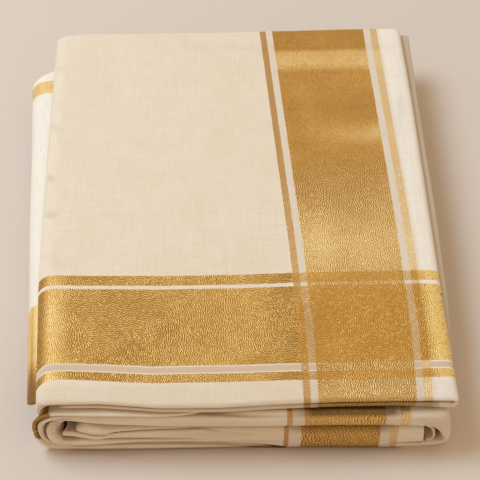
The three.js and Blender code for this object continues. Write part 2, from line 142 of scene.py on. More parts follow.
# Stacks of hidden plies: x, the levels from the lowest up, how deep the front is let in at each level,
# and how far the whole front swells out.
FOLD_A_STACK = [
    (LEFT_JOIN, (27.4, 37.3), (0, 0), 4.6), (-90, (27.1, 37.6), (0.6, 0.4), 4.2),
    (-73, (27.2, FOLD_A_TOP), (0.8, 0.6), 3.6), (-52, (26.6, FOLD_A_TOP), (1.0, 0.6), 3.6),
    (-32, (25.9, FOLD_A_TOP), (2.2, 0.6), 4.6), (-10, (25.3, FOLD_A_TOP), (2.6, 1.0), 4.6),
    (100, (FOLD_A_LOW, FOLD_A_TOP), (2.6, 1.0), 4.6), (RIGHT_JOIN, (FOLD_A_LOW, FOLD_A_TOP), (0, 0), 4.6),
]
FOLD_A_CROWN = ([-32, -18, 0, 96, 112], [0.0, 0.8, 2.4, 2.4, 0.0])
FOLD_B_STACK = [
    (LEFT_JOIN, (9.6, 16.75, 21.15, 27.1), (2.8, 3.0, 2.2, 2.8), 0.0),
    (-96, (9.7, 16.8, 22.2, 27.0), (2.8, 3.2, 0.8, 2.6), 0.2),
    (-93, (9.8, 16.9, 24.0, 26.9), (2.8, 3.2, 1.2, 2.8), 0.6),
    (-86, (10.0, 16.8, 24.6, 26.8), (2.8, 3.0, 2.8, 1.2), 1.6),
    (-73, (10.2, 16.2, 24.9, 26.9), (2.8, 2.8, 3.4, 0.9), 2.6),
    (-60, (10.0, 15.6, 25.0, 26.6), (2.8, 2.4, 3.6, 0.8), 3.0),
    (-45, (9.5, 15.3, 25.0, 26.2), (2.8, 1.6, 3.6, 1.0), 3.2),
    (-32, (8.9, 15.0, 24.9, 25.6), (2.8, 0.6, 2.8, 2.4), 3.4),
    (-18, (7.8, 15.0, 22.5, 25.2), (2.6, 0.0, 0.4, 2.8), 3.8),
    (7.5, (4.9, 14.0, 19.5, 24.8), (1.6, 0.0, 0.0, 2.8), 4.2),
    (20, (2.6, 13.5, 19.0, 24.8), (0.6, 0.0, 0.0, 2.8), 4.6),
    (30, (0.2, 13.0, 19.0, 24.8), (0.0, 0.0, 0.0, 2.8), 4.6),
    (96, (0.0, 8.8, 19.0, 24.8), (0.0, 0.0, 0.0, 2.8), 4.6),
    (104, (0.2, 8.4, 19.0, 24.8), (0.0, 1.6, 0.0, 2.6), 4.6),
    (114, (3.2, 8.0, 19.0, 24.7), (0.0, 2.6, 0.0, 2.0), 4.2),
    (RIGHT_JOIN, (5.6, 8.2, 19.0, 23.7), (0.6, 2.4, 0.0, 1.2), 3.6),
]
# Where the thin plies end at the right, over the distance behind the front, and where in their sections.
REACH_BEHIND = [20, 60, 105, 190, 300, 384]
REACH_X = [142.0, 147.2, 150.0, 152.6, 153.8, 155.6]
SECTION_END = 150.0


# ---- small helpers
def ramp(value, start, end):
    return np.clip((np.asarray(value, float) - start) / (end - start), 0.0, 1.0)


def smooth(value, start, end):
    t = ramp(value, start, end)
    return t * t * (3 - 2 * t)


def bump(value, centre, half):
    """1 at the centre, falling softly to 0 at a distance of `half`."""
    t = np.clip(1 - np.abs(np.asarray(value, float) - centre) / half, 0.0, 1.0)
    return t * t * (3 - 2 * t)


def front_at(column, x):
    return FRONT + np.interp(x, FACE_X, FACE[column])


def to_reach(x, y, short):
    """Moves the right end of a thin ply to where it ends at this depth, less `short`."""
    reach = np.interp(y - FRONT, REACH_BEHIND, REACH_X)
    return x - (SECTION_END - reach + short) * ramp(x, 110, 148)


def spline(points, counts):
    """A centripetal Catmull-Rom curve through the points, with `counts` places for each segment."""
    p = [np.array(q, float) for q in points]
    p = [2 * p[0] - p[1], *p, 2 * p[-1] - p[-2]]
    out = []
    for k in range(1, len(p) - 2):
        d = [max(np.linalg.norm(p[k + j] - p[k + j - 1]), 1e-8) ** 0.5 for j in range(3)]
        a, b, c, e = p[k - 1:k + 3]
        t1 = ((b - a) / d[0] - (c - a) / (d[0] + d[1]) + (c - b) / d[1]) * d[1]
        t2 = ((c - b) / d[1] - (e - b) / (d[1] + d[2]) + (e - c) / d[2]) * d[1]
        for t in np.linspace(0, 1, counts[k - 1], endpoint=False):
            out.append(b + t1 * t + (-3 * b + 3 * c - 2 * t1 - t2) * t * t
                       + (2 * b - 2 * c + t1 + t2) * t ** 3)
    out.append(p[-2])
    return np.array(out)


def grid_normals(grid):
    """Unit normals of a grid of points (rings, around, 3) that is closed around."""
    around = np.roll(grid, -1, 1) - np.roll(grid, 1, 1)
    along = np.gradient(grid, axis=0)
    normal = np.cross(around, along)
    size = np.linalg.norm(normal, axis=2, keepdims=True)
    return normal / np.maximum(size, 1e-9)


def crease(at, path, width, depth):
    """A soft trough (depth > 0) or ridge (depth < 0) along a path of points (x, y, z). Width and
    depth may be one value or one for each point of the path."""
    path = np.array(path, float)
    width = np.broadcast_to(np.asarray(width, float), len(path))
    depth = np.broadcast_to(np.asarray(depth, float), len(path))
    best = np.full(at.shape[:-1], 1e9)
    amount = np.zeros(at.shape[:-1])
    for k in range(len(path) - 1):
        start, step = path[k], path[k + 1] - path[k]
        t = np.clip(((at - start) @ step) / (step @ step), 0, 1)
        away = np.linalg.norm(at - start - t[..., None] * step, axis=-1)
        w = width[k] + (width[k + 1] - width[k]) * t
        here = (depth[k] + (depth[k + 1] - depth[k]) * t) * np.exp(-(away / w) ** 2)
        nearer = away < best
        amount = np.where(nearer, here, amount)
        best = np.minimum(best, away)
    return -amount


def new_object(name, vertices, faces, attributes, material, square):
    mesh = bpy.data.meshes.new(name)
    mesh.from_pydata(vertices.tolist(), [], faces)
    for key, values in attributes.items():
        layer = mesh.attributes.new(key, "FLOAT", "POINT")
        layer.data.foreach_set("value", np.asarray(values, np.float32))
    mesh.polygons.foreach_set("use_smooth", [not flat for flat in square])
    mesh.materials.append(material)
    mesh.update()
    piece = bpy.data.objects.new(name, mesh)
    bpy.context.scene.collection.objects.link(piece)
    return piece


def tube_faces(rings, around):
    """Quads of a closed tube of rings, and the two strips that shut its ends."""
    faces = wall_faces(rings, around)
    half = around // 2
    last = (rings - 1) * around
    for i in range(half - 1):
        a, b, c, d = i, i + 1, around - 2 - i, around - 1 - i
        faces.append((d, c, b, a))
        faces.append((last + a, last + b, last + c, last + d))
    return faces


def wall_faces(rings, around):
    return [(j * around + i, j * around + (i + 1) % around, (j + 1) * around + (i + 1) % around,
             (j + 1) * around + i) for j in range(rings - 1) for i in range(around)]


def outward(vertices, faces):
    """Turns every face where the solid comes out inside out."""
    total = 0.0
    for count in {len(face) for face in faces}:
        corners = vertices[np.array([face for face in faces if len(face) == count])]
        for k in range(1, count - 1):
            turned = np.cross(corners[:, k], corners[:, k + 1])
            total += float((corners[:, 0] * turned).sum())
    return faces if total > 0 else [tuple(reversed(face)) for face in faces]


# ---- cloth pieces
def band(name, section, front, back, coordinates, bend=None, spacing=2.2, coarse=(), step=2.2,
         relief=None, open_ends=(True, True), more=(), nose=NOSE_DEPTH, rim=None):
    """A ply or bundle as a closed band. `coarse` lists the segments that are hidden, `more` gives the
    sections of further plies of the same piece, and `rim` says where the walls behind the rounded
    front edge get painted shade, and how much."""
    grids, rims = [], []
    for part in (section, *more):
        grid, cut, turn = band_grid(part, front, back, bend, spacing, coarse, step, open_ends, nose)
        grids.append(grid)
        rims.append(turn * rim(grid[..., 0], grid[..., 2]) if rim else turn * 0)
    return finish_piece(name, grids, relief, coordinates, cut, rims)


def band_grid(section, front, back, bend, spacing, coarse, step, open_ends, nose_limit):
    """The points of a band as rings from the front to the back, the strips that are cut off square,
    and for each point how far it lies behind the rounded front edge, from 0 to 1."""
    rows = np.array(section, float)
    length = np.linalg.norm(np.diff(rows[:, :2], axis=0), axis=1)
    counts = [max(3, math.ceil(d / (spacing * (COARSE if k in coarse else 1.0))))
              for k, d in enumerate(length)]
    outer, inner = spline(rows[:, :2], counts), spline(rows[:, 2:], counts)
    for is_open, here, beside in ((open_ends[0], 0, 1), (open_ends[1], -1, -2)):
        if not is_open:
            share = HOLD / np.linalg.norm(outer[beside] - outer[here])
            at = 1 if here == 0 else len(outer) - 1
            outer, inner = [np.insert(side, at, side[here] + (side[beside] - side[here]) * share, axis=0)
                            for side in (outer, inner)]
    along = np.concatenate([[0], np.cumsum(np.linalg.norm(np.diff(outer, axis=0), axis=1))])
    thick = np.linalg.norm(outer - inner, axis=1)
    centre = (outer + inner) / 2
    nose = np.minimum(nose_limit, thick / 2)
    end = np.ones(len(outer))
    for is_open, away in ((open_ends[0], along), (open_ends[1], along[-1] - along)):
        if is_open:
            deep = 1 - np.clip(away / (thick / 2), 0, 1)
            end *= np.sqrt(np.clip(1 - 0.9 * deep ** 2, 0.04, 1))
    first = front(centre[:, 0], centre[:, 1]) if callable(front) else np.full(len(outer), float(front))
    back = back(centre[:, 0], centre[:, 1]) if callable(back) else back
    middle = np.linspace(0, 1, max(8, round((BACK - FRONT) / step)))
    edge = [(math.sin(a), nose * (1 - math.cos(a))) for a in ROUNDING]
    stations = [(share, first + behind) for share, behind in edge]
    stations += [(1.0, (first + nose) * (1 - t) + (back - nose) * t) for t in middle]
    stations += [(share, back - ahead) for share, ahead in reversed(edge)]
    rings = []
    for share, y in stations:
        half = (outer - centre) * share * end[:, None]
        sides = []
        for side in (half, -half):
            x, z = centre[:, 0] + side[:, 0], centre[:, 1] + side[:, 1]
            if bend:
                x, z = bend(x, z, y)
            sides.append(np.stack([x, y, z], 1))
        rings.append(np.concatenate([sides[0], sides[1][::-1]]))
    grid = np.array(rings)
    strips = (2 * len(outer) - 1, len(outer) - 1)
    cut = [strip for strip, is_open in zip(strips, open_ends) if not is_open]
    first, nose = np.append(first, first[::-1]), np.append(nose, nose[::-1])
    turn = smooth((grid[..., 1] - first) / nose, 0.15, 0.8)
    return grid, cut, turn


def bundle(name, stack, column, back, plies, coordinates, relief, crown=None, spacing=1.8):
    """Hidden plies as one solid: rounded folds at the front, and rounded ply edges at the back.
    `crown` is how much higher the front's top edge stands, as a table over x."""
    row_x = [row[0] for row in stack]
    start, stop = row_x[0] + SEAM, row_x[-1] - SEAM
    fixed = np.array([start, *row_x[1:-1], stop])
    between = np.linspace(start, stop, round((stop - start) / spacing))
    between = between[np.abs(between[:, None] - fixed).min(1) > spacing / 3]
    xs = np.sort(np.concatenate([fixed, [start + HOLD, stop - HOLD], between]))
    levels, depths = [
        np.stack([np.interp(xs, row_x, [row[entry][k] for row in stack])
                  for k in range(len(stack[0][entry]))], axis=1) for entry in (1, 2)]
    swell = np.interp(xs, row_x, [row[3] for row in stack])
    low, high = levels[:, 0].copy(), levels[:, -1].copy()
    rise = np.interp(xs, *crown) if crown else np.zeros(len(xs))
    levels[:, -1] += rise
    middle, half = (low + levels[:, -1]) / 2, (levels[:, -1] - low) / 2
    first = front_at(column, xs)
    profile, grooves = [], []
    top_level = levels.shape[1] - 2
    for k in reversed(range(levels.shape[1] - 1)):
        bottom_of, top_of = levels[:, k], levels[:, k + 1]
        count = max(8, round(float((top_of - bottom_of).max()) / PROFILE_STEP))
        for u in np.cos(np.linspace(0, math.pi, count, endpoint=(k == 0))):
            z = (top_of + bottom_of) / 2 + (top_of - bottom_of) / 2 * u
            let_in = (1 - math.sqrt(max(0, 1 - u * u))) * (depths[:, k + 1] if u > 0 else depths[:, k])
            whole = np.clip(np.abs(z - middle) / half, 0, 1)
            profile.append((first + let_in + swell * (1 - np.sqrt(1 - whole ** 2)), z))
            over = np.exp(-((z - bottom_of) / GROOVE_OVER) ** 2) * depths[:, k]
            under = np.exp(-((top_of - z) / GROOVE_REACH) ** 2) * depths[:, k + 1]
            under = under * (GROOVE_TOP_SHARE if k == top_level else 1.0)
            grooves.append(np.clip(np.maximum(over, under) / GROOVE_FULL, 0, 1))
    height = (high - low) / plies
    bottom = []
    for k in range(plies):
        centre = low + height * (k + 0.5)
        reach = back - PLY_IN[k % len(PLY_IN)] - height / 2
        for angle in PLY_EDGE:
            bottom.append((reach + height / 2 * math.cos(angle), centre + height / 2 * math.sin(angle)))
    # From the top of the fold round the front to the underside, back along it, up over the ply
    # edges, and forward along the top.
    steps = np.linspace(0, 1, 60)[1:-1]
    crown_depth = 7.0
    loop = list(profile)
    for t in steps:
        loop.append((profile[-1][0] * (1 - t) + bottom[0][0] * t, low))
    loop += bottom
    for t in steps[::-1]:
        y = profile[0][0] * (1 - t) + bottom[-1][0] * t
        loop.append((y, high + rise * (1 - smooth(y, profile[0][0], profile[0][0] + crown_depth))))
    grid = np.array([[(x, y[i], z[i]) for y, z in loop] for i, x in enumerate(xs)])
    groove = np.zeros(grid.shape[:2])
    groove[:, :len(grooves)] = np.array(grooves).T
    return finish_piece(name, [grid], relief, coordinates, None, [groove])


def finish_piece(name, grids, relief, coordinates, cut, rims):
    """Turns grids of points into a piece, with its creases and the attributes of its cloth. `cut` lists
    the strips of a band that are cut off square, and is None for a bundle, which has a cap at each end.
    `rims` are the painted shades, set by the shape, for each grid."""
    all_points, all_faces, all_square = [], [], []
    values = {key: [] for key in ("across", "along", "grain", "fine", "glow", "shade")}
    for grid, rim in zip(grids, rims):
        flat = grid.copy()
        if relief:
            sign = 1.0 if volume_sign(grid) > 0 else -1.0
            moved, crease_shade = relief(flat)
            grid = grid + grid_normals(grid) * (sign * moved)[..., None]
            rim = rim + crease_shade
        grid[..., 2] = np.maximum(grid[..., 2], 0.0)
        rings, around = grid.shape[:2]
        across, along_cloth, extra = coordinates(flat)
        found = {"across": across, "along": along_cloth, "fine": 1.0, **extra}
        found["shade"] = np.clip(found["shade"] + GROOVE_SHADE * rim, 0, 1)
        for key, value in found.items():
            values[key].append(np.broadcast_to(value, (rings, around)).ravel())
        points = grid.reshape(-1, 3).copy()
        points[:, 0] += SIDE_SHIFT
        if cut is None:
            faces = wall_faces(rings, around)
            faces += [tuple(reversed(range(around))), tuple((rings - 1) * around + i for i in range(around))]
            square = [False] * (len(faces) - 2) + [True, True]
        else:
            faces = tube_faces(rings, around)
            square = [k < (rings - 1) * around and k % around in cut for k in range(len(faces))]
        base = sum(len(p) for p in all_points)
        all_faces += [tuple(i + base for i in face) for face in outward(points, faces)]
        all_points.append(points)
        all_square += square
    vertices = np.concatenate(all_points) * MM
    values = {key: np.concatenate(parts) for key, parts in values.items()}
    return new_object(name, vertices, all_faces, values, CLOTH, all_square)


def volume_sign(grid):
    """The sign of the volume that a grid of rings closes, taken over its walls."""
    a, b = grid[:-1], grid[1:]
    an, bn = np.roll(a, -1, 1), np.roll(b, -1, 1)
    centre = grid.reshape(-1, 3).mean(0)
    quads = np.cross(an - a, b - a) + np.cross(b - bn, an - bn)
    middle = (a + b + an + bn) / 4 - centre
    return float((quads * middle).sum())


# ---- materials
class Graph:
    """A short way to write a node graph."""

    def __init__(self, name):
        self.material = bpy.data.materials.new(name)
        self.material.use_nodes = True
        self.tree = self.material.node_tree
        self.tree.nodes.clear()

    def node(self, kind, values=None, **settings):
        made = self.tree.nodes.new(kind)
        for key, value in settings.items():
            setattr(made, key, value)
        for key, value in (values or {}).items():
            self.put(made.inputs[key], value)
        return made

    def put(self, socket, value):
        if isinstance(value, bpy.types.NodeSocket):
            self.tree.links.new(value, socket)
        else:
            socket.default_value = value

    def math(self, operation, a, b=0.0, clamp=False):
        made = self.node("ShaderNodeMath", operation=operation, use_clamp=clamp)
        self.put(made.inputs[0], a)
        self.put(made.inputs[1], b)
        return made.outputs[0]

    def times(self, a, b):
        return self.math("MULTIPLY", a, b)

    def plus(self, a, b, clamp=False):
        return self.math("ADD", a, b, clamp)

    def centred(self, value, strength):
        """A noise about 0.5 as one about 0, with this strength."""
        return self.times(self.math("SUBTRACT", value, 0.5), strength)

    def mix(self, share, a, b, blend="MIX"):
        made = self.node("ShaderNodeMix", data_type="RGBA", blend_type=blend)
        self.put(made.inputs[0], share)
        self.put(made.inputs[6], a)
        self.put(made.inputs[7], b)
        return made.outputs[2]

    def attribute(self, name):
        return self.node("ShaderNodeAttribute", attribute_name=name).outputs["Fac"]

    def window(self, value, start, end, soft=0.25):
        """1 between start and end, 0 outside."""
        return self.times(self.spread(value, start - soft, start + soft),
                          self.spread(value, end - soft, end + soft, 1.0, 0.0))

    def either(self, *masks):
        total = masks[0]
        for mask in masks[1:]:
            total = self.math("MAXIMUM", total, mask)
        return total

    def vector(self, x, y, z=0.0):
        return self.node("ShaderNodeCombineXYZ", {"X": x, "Y": y, "Z": z}).outputs[0]

    def noise(self, vector, scale, detail=2.0, roughness=0.5):
        return self.node("ShaderNodeTexNoise", {"Vector": vector, "Scale": scale, "Detail": detail,
                                                "Roughness": roughness}).outputs["Fac"]

    def spread(self, value, low, high, to_low=0.0, to_high=1.0):
        return self.node("ShaderNodeMapRange", {"Value": value, "From Min": low, "From Max": high,
                                                "To Min": to_low, "To Max": to_high}).outputs[0]

    def finish(self, shader):
        self.tree.links.new(shader.outputs[0], self.node("ShaderNodeOutputMaterial").inputs[0])
        return self.material


def linear(red, green, blue):
    """An sRGB colour, 0 to 255, as linear values."""
    values = []
    for part in (red, green, blue):
        c = part / 255
        values.append(c / 12.92 if c <= 0.04045 else ((c + 0.055) / 1.055) ** 2.4)
    return (*values, 1.0)


FLOOR_COLOUR = linear(218, 203, 188)
# Painted shade: a warm brown for grooves, hollows, undersides and the contact with the floor, and a deeper
# one for the darkest places.
SHADE = linear(130, 92, 32)
SHADE_DEEP = linear(64, 42, 14)
CREAM = linear(235, 219, 196)
CREAM_WARM = linear(232, 214, 187)
CREAM_GAP = linear(226, 210, 188)
CREAM_WHITE = linear(246, 238, 226)
HEM_TAN = linear(206, 174, 146)
THREAD_TAN = linear(204, 180, 140)
GOLD_DARK = linear(148, 100, 36)
GOLD = linear(207, 156, 74)
GOLD_LIGHT = linear(252, 221, 156)
GOLD_DEEP = linear(196, 132, 34)
GOLD_ON_GAP = linear(206, 172, 128)
LEVEL_TINT = (0.98, 0.95, 0.66, 1.0)
FOLD_SHADE_TINT = (1.0, 0.93, 0.62, 1.0)
NARROW_TAN = linear(205, 158, 104)
NARROW_PALE = linear(244, 217, 168)

# Stripe edges in cloth millimetres: across from the middle, and along from the front hem.
NARROW_LEFT = (38.8, 43.7)
WIDE = (48.9, 119.0)
NARROW_RIGHT = (124.2, 129.8)
HEM_NARROW = (25.8, 33.2)
HEM_WIDE = (40.3, 109.4)
HEM_GAP = (34.3, 39.2)
END_NARROW = (112.8, 122.0)
FLAP_BAR = (324.0, 338.0)
FLAP_GOLD_END = 109.0
EDGE_LEFT, EDGE_RIGHT = -140.0, 131.0  # across the cloth, clear of the border on each side
IN_BAND = 70.0  # along the cloth, amid the wide cross band
BEHIND_BAND, FAR_BEHIND = 300.0, 500.0  # along the cloth, where no band lies

# The weave: slubs per metre across and along a thread, and the gold's ridges, which are worm-like and
# about half a millimetre apart.
SLUB_FINE, SLUB_LONG = 1500.0, 60.0
RIDGE_SCALE, RIDGE_FREQUENCY, RIDGE_WAY = 0.36, 1.9, 0.55
RIDGE_BEND = 1.1
RIDGE_LEAN, LEVEL_LEAN = 0.9, 0.6
RIDGE_GLINT, RIDGE_HEIGHT, THREAD_HEIGHT = 3.4, 2.2, 0.35
WEAVE_DEPTH = 0.00022
FOLD_FINE = 0.8  # the ridges of the front folds are this much closer, and their gold takes a painted warm shade


def cloth_material():
    g = Graph("kasavu_cloth")
    across, along, grain_share, fine, glow, shade = [
        g.attribute(name) for name in ("across", "along", "grain", "fine", "glow", "shade")]
    where = g.node("ShaderNodeTexCoord").outputs["Object"]

    # Threads: slubs along the warp and along the weft.
    warp, weft = [
        g.noise(g.node("ShaderNodeMapping", {"Vector": where, "Scale": scale}).outputs[0], 1.0, 1.0)
        for scale in ((SLUB_FINE, SLUB_LONG, SLUB_FINE), (SLUB_LONG, SLUB_FINE, SLUB_FINE))]
    threads = g.plus(g.times(warp, 0.5), g.times(weft, 0.5))
    mottle = g.noise(where, 28.0, 3.0, 0.6)

    # Stripes: `upright` ones run from the front to the back, and `level` ones cross them.
    uneven = g.centred(g.noise(where, 260.0, 1.0), 0.7)
    a, b = g.plus(across, uneven), g.plus(along, uneven)
    wide = g.window(a, *WIDE)
    narrow = g.either(g.window(a, *NARROW_LEFT), g.window(a, *NARROW_RIGHT))
    gap = g.either(g.window(a, NARROW_LEFT[1], WIDE[0]), g.window(a, WIDE[1], NARROW_RIGHT[0]))
    level = g.either(*[g.window(b, *edges) for edges in (HEM_WIDE, HEM_NARROW, END_NARROW, FLAP_BAR)])
    hem_gap = g.window(b, *HEM_GAP)
    upright = g.either(wide, narrow)
    gold = g.either(upright, g.times(level, g.math("SUBTRACT", 1.0, g.times(gap, 0.12))))
    crossing = g.times(upright, level)
    narrow_only = g.times(narrow, g.math("SUBTRACT", 1.0, level))

    # Gold grain: small ridges that turn slowly over the cloth and run on round its folds.
    turn = g.noise(where, 16.0, 2.0, 0.6)
    part = g.node("ShaderNodeSeparateXYZ", {"Vector": where}).outputs
    per_mm = g.times(fine, 1000.0)
    wide_way = g.times(g.plus(part[0], g.times(part[2], 0.6)), per_mm)
    long_way = g.times(g.plus(part[1], part[2]), per_mm)
    waves = g.node("ShaderNodeTexNoise", {"Vector": where, "Scale": 420.0, "Detail": 1.0}).outputs["Color"]
    bend = g.node("ShaderNodeVectorMath", {0: waves, "Scale": RIDGE_BEND}, operation="SCALE").outputs[0]
    bent = g.node("ShaderNodeVectorMath", {0: g.vector(wide_way, long_way), 1: bend},
                  operation="ADD").outputs[0]
    gabor = g.node("ShaderNodeTexGabor", {
        "Vector": bent, "Scale": RIDGE_SCALE, "Frequency": RIDGE_FREQUENCY, "Anisotropy": RIDGE_WAY,
        "Orientation": g.plus(g.spread(turn, 0.35, 0.65, -RIDGE_LEAN, RIDGE_LEAN),
                              g.times(level, LEVEL_LEAN))}, gabor_type="2D")
    ridge = g.centred(gabor.outputs["Value"], grain_share)
    fleck = g.centred(g.noise(where, 900.0, 1.0), 0.6)

    # The gold's colour: painted glints along its ridges, its tone with painted sheen and shade, fine flecks
    # and mottle.
    bright = g.plus(g.plus(g.times(ridge, RIDGE_GLINT), glow), fleck)
    bright = g.plus(bright, g.centred(mottle, 0.4), clamp=True)
    gold_colour = g.node("ShaderNodeValToRGB", {"Fac": bright})
    stops = gold_colour.color_ramp.elements
    stops[0].position, stops[0].color = 0.0, GOLD_DARK
    stops[1].position, stops[1].color = 1.0, GOLD_LIGHT
    stops.new(0.5).color = GOLD
    tone = gold_colour.outputs[0]
    tone = g.mix(g.times(crossing, 0.62), tone, g.mix(0.7, tone, GOLD_DEEP))
    # Painted warm shade on the gold of the front folds.
    tone = g.mix(g.spread(fine, FOLD_FINE, 1.0, 0.85, 0.0), tone, FOLD_SHADE_TINT, "MULTIPLY")
    tone = g.mix(g.times(g.times(level, grain_share), 0.8), tone, LEVEL_TINT, "MULTIPLY")
    narrow_tone = g.mix(g.spread(across, 44.0, 124.0), NARROW_TAN, NARROW_PALE)
    tone = g.mix(g.times(narrow_only, 0.65), tone, narrow_tone)
    in_gap = g.times(g.times(gap, level), g.spread(across, 48.0, 118.0, 0.12, 0.5))
    tone = g.mix(in_gap, tone, GOLD_ON_GAP)

    cream = g.mix(g.spread(mottle, 0.4, 0.75), CREAM, CREAM_WARM)
    cream = g.mix(gap, cream, CREAM_GAP)
    cream = g.mix(g.spread(across, 129.8, 133.0, 0.0, 0.85), cream, CREAM_WHITE)
    cream = g.mix(g.times(hem_gap, 0.85), cream, HEM_TAN)
    cream = g.mix(g.spread(threads, 0.32, 0.68, 0.0, 0.34), cream, THREAD_TAN)
    colour = g.mix(gold, cream, tone)
    # Painted shade from the shade attribute, deepest where it is strongest.
    colour = g.mix(shade, colour, SHADE)
    colour = g.mix(g.spread(shade, 0.72, 1.0, 0.0, 0.85), colour, SHADE_DEEP)

    height = g.plus(g.times(threads, THREAD_HEIGHT), g.times(g.times(ridge, gold), RIDGE_HEIGHT))
    relief = g.node("ShaderNodeBump", {"Strength": 1.0, "Distance": WEAVE_DEPTH, "Height": height})
    return g.finish(g.node("ShaderNodeBsdfPrincipled", {
        "Base Color": colour,
        "Metallic": g.times(gold, 0.45),
        "Roughness": g.spread(gold, 0.0, 1.0, 0.85, 0.42),
        "Sheen Weight": g.spread(gold, 0.0, 1.0, 0.25, 0.0),
        "Sheen Roughness": 0.5,
        "Normal": relief.outputs[0],
    }))


def floor_material():
    g = Graph("pale_floor")
    return g.finish(g.node("ShaderNodeBsdfPrincipled", {
        "Base Color": FLOOR_COLOUR, "Roughness": 0.9, "Specular IOR Level": 0.2}))


CLOTH = cloth_material()


# ---- cloth coordinates
# How far the upright stripes' left and right edges lean to the left, over the distance behind the front,
# and how far the level stripes bow to the back, at their front and back edges, over x.
LEAN_LEFT = ([12, 69, 153, 195, 383], [-0.6, 0.8, 0.0, -1.3, -6.5])
LEAN_RIGHT = ([10, 66, 151, 192, 385], [-3.9, -0.8, 0.0, 0.0, -2.2])
BOW_X = [-142, -136, -128, -117, -62, 0, 38, 143]
BOW_FRONT = [2.5, 5.6, 6.3, 5.7, 1.0, 0.0, 0.0, -0.6]
BOW_BACK = [2.5, 3.9, 4.0, 3.3, 0.7, 0.0, 0.6, -0.6]
# The gold's tone with painted sheen and shade: the upright stripes over the distance behind the front, the
# level ones over x.
UPRIGHT_SHEEN = (
    [0, 14, 30, 50, 90, 112, 130, 152, 176, 200, 230, 262, 290, 322, 333, 338, 344, 356, 361, 384],
    [0.44, 0.57, 0.47, 0.40, 0.40, 0.52, 0.66, 0.74, 0.60, 0.45, 0.41, 0.48, 0.38, 0.42, 0.42, 0.64, 0.76,
     0.70, 0.36, 0.38])
LEVEL_SHEEN = (
    [-130, -117, -95, -73, -51, -29, -7, 4, 15, 24, 34],
    [0.27, 0.27, 0.29, 0.32, 0.36, 0.40, 0.45, 0.47, 0.42, 0.34, 0.30])


def stripe_across(x, behind):
    """Where a place on the top lies across the cloth: the border leans and narrows to the back."""
    t = ramp(x, 48.0, 119.0)
    return x - (np.interp(behind, *LEAN_LEFT) * (1 - t) + np.interp(behind, *LEAN_RIGHT) * t)


def stripe_along(x, behind):
    """Where a place on the top lies along the cloth: the cross band bows."""
    t = ramp(behind, 33, 115)
    return behind - (np.interp(x, BOW_X, BOW_FRONT) * (1 - t) + np.interp(x, BOW_X, BOW_BACK) * t)


def pallu_coordinates(p):
    behind = p[..., 1] - FRONT
    x, z = p[..., 0], p[..., 2]
    inside = (z < PALLU_LOW - 0.2) & (x > -127)
    along = np.where(inside, BEHIND_BAND, np.minimum(stripe_along(x, behind), BEHIND_BAND))
    grain = (1 - 0.85 * smooth(behind, 185, 262)) * (1 - 0.4 * bump(x, -131, 17))

    # Painted highlights brighten the gold on the rounded left and right edges and on a ridge near the back,
    # and painted shade darkens it at the far left, where it turns down.
    upright = ramp(x, 36, 40) * (1 - ramp(x, 130, 133))
    glow = np.where(upright > 0.5, np.interp(behind, *UPRIGHT_SHEEN), np.interp(x, *LEVEL_SHEEN))
    glow = glow + 0.22 * bump(behind - 0.05 * x, 256, 18) * ramp(x, 70, 110)
    glow = glow + 0.42 * bump(x, -132, 15)
    glow = glow + 0.8 * ramp(x, 128, 135)
    glow = glow - 0.30 * (1 - ramp(x, -139, -133))

    # Painted shade darkens the front edge, most under its lip and where it tucks in, above all in the
    # stripes.
    front = 1 - smooth(behind, 14, 22)
    under_lip_shade = bump(z, 47.2, 1.7) * front
    tuck_shade = (z < TUCKED) * front * ramp(x, -90, 20)
    stripes = (x > 38) & (x < 131)
    shade = 0.09 * (1 - smooth(behind, 23, 29))
    shade = shade + under_lip_shade * np.where(stripes, 0.62, 0.26) + tuck_shade * np.where(stripes, 0.42, 0.08)
    return stripe_across(x, behind), along, {"grain": grain, "glow": glow, "shade": shade}


def inside_of(x, z, behind, low, high, starts, strength):
    """Shade of the inner walls of a roll, between two corners of its section."""
    within = (x > low[0]) & (x < high[0]) & (z > low[1]) & (z < high[1])
    return np.where(within, strength * smooth(behind, starts, starts + 6), 0.0)


def plain_coordinates(glow=0.42, across_edges=None, gold_zone=None, shade=0.0, grain=1.0,
                      plain=-300.0, fine=1.0):
    """Coordinates of an under ply. `across_edges` moves the border to where it shows on that ply, and
    `gold_zone` says which places of it lie in the cross border. Without edges, all of the ply lies at
    `plain` across the cloth."""
    border = [EDGE_LEFT, *NARROW_LEFT, *WIDE, *NARROW_RIGHT, EDGE_RIGHT]

    def coordinates(p):
        x, z, behind = p[..., 0], p[..., 2], p[..., 1] - FRONT

        def at(value):
            return value(x, z, behind) if callable(value) else value

        across = np.interp(x, across_edges, border) if across_edges else np.full(x.shape, plain)
        along = at(gold_zone) if gold_zone else np.full(x.shape, FAR_BEHIND)
        return across, along, {"glow": at(glow), "shade": at(shade), "fine": fine, "grain": at(grain)}
    return coordinates


# ---- creases
def top_z(x):
    return np.interp(x, [-142, -135.5, -124, 130, 139.5, 144.4], [43.0, 51.0, 52.0, 51.9, 51.2, 47.8])


def on_top(points):
    """Crease points on the packet's top, given as (x, distance behind the front)."""
    return [(x, FRONT + behind, float(top_z(x))) for x, behind in points]


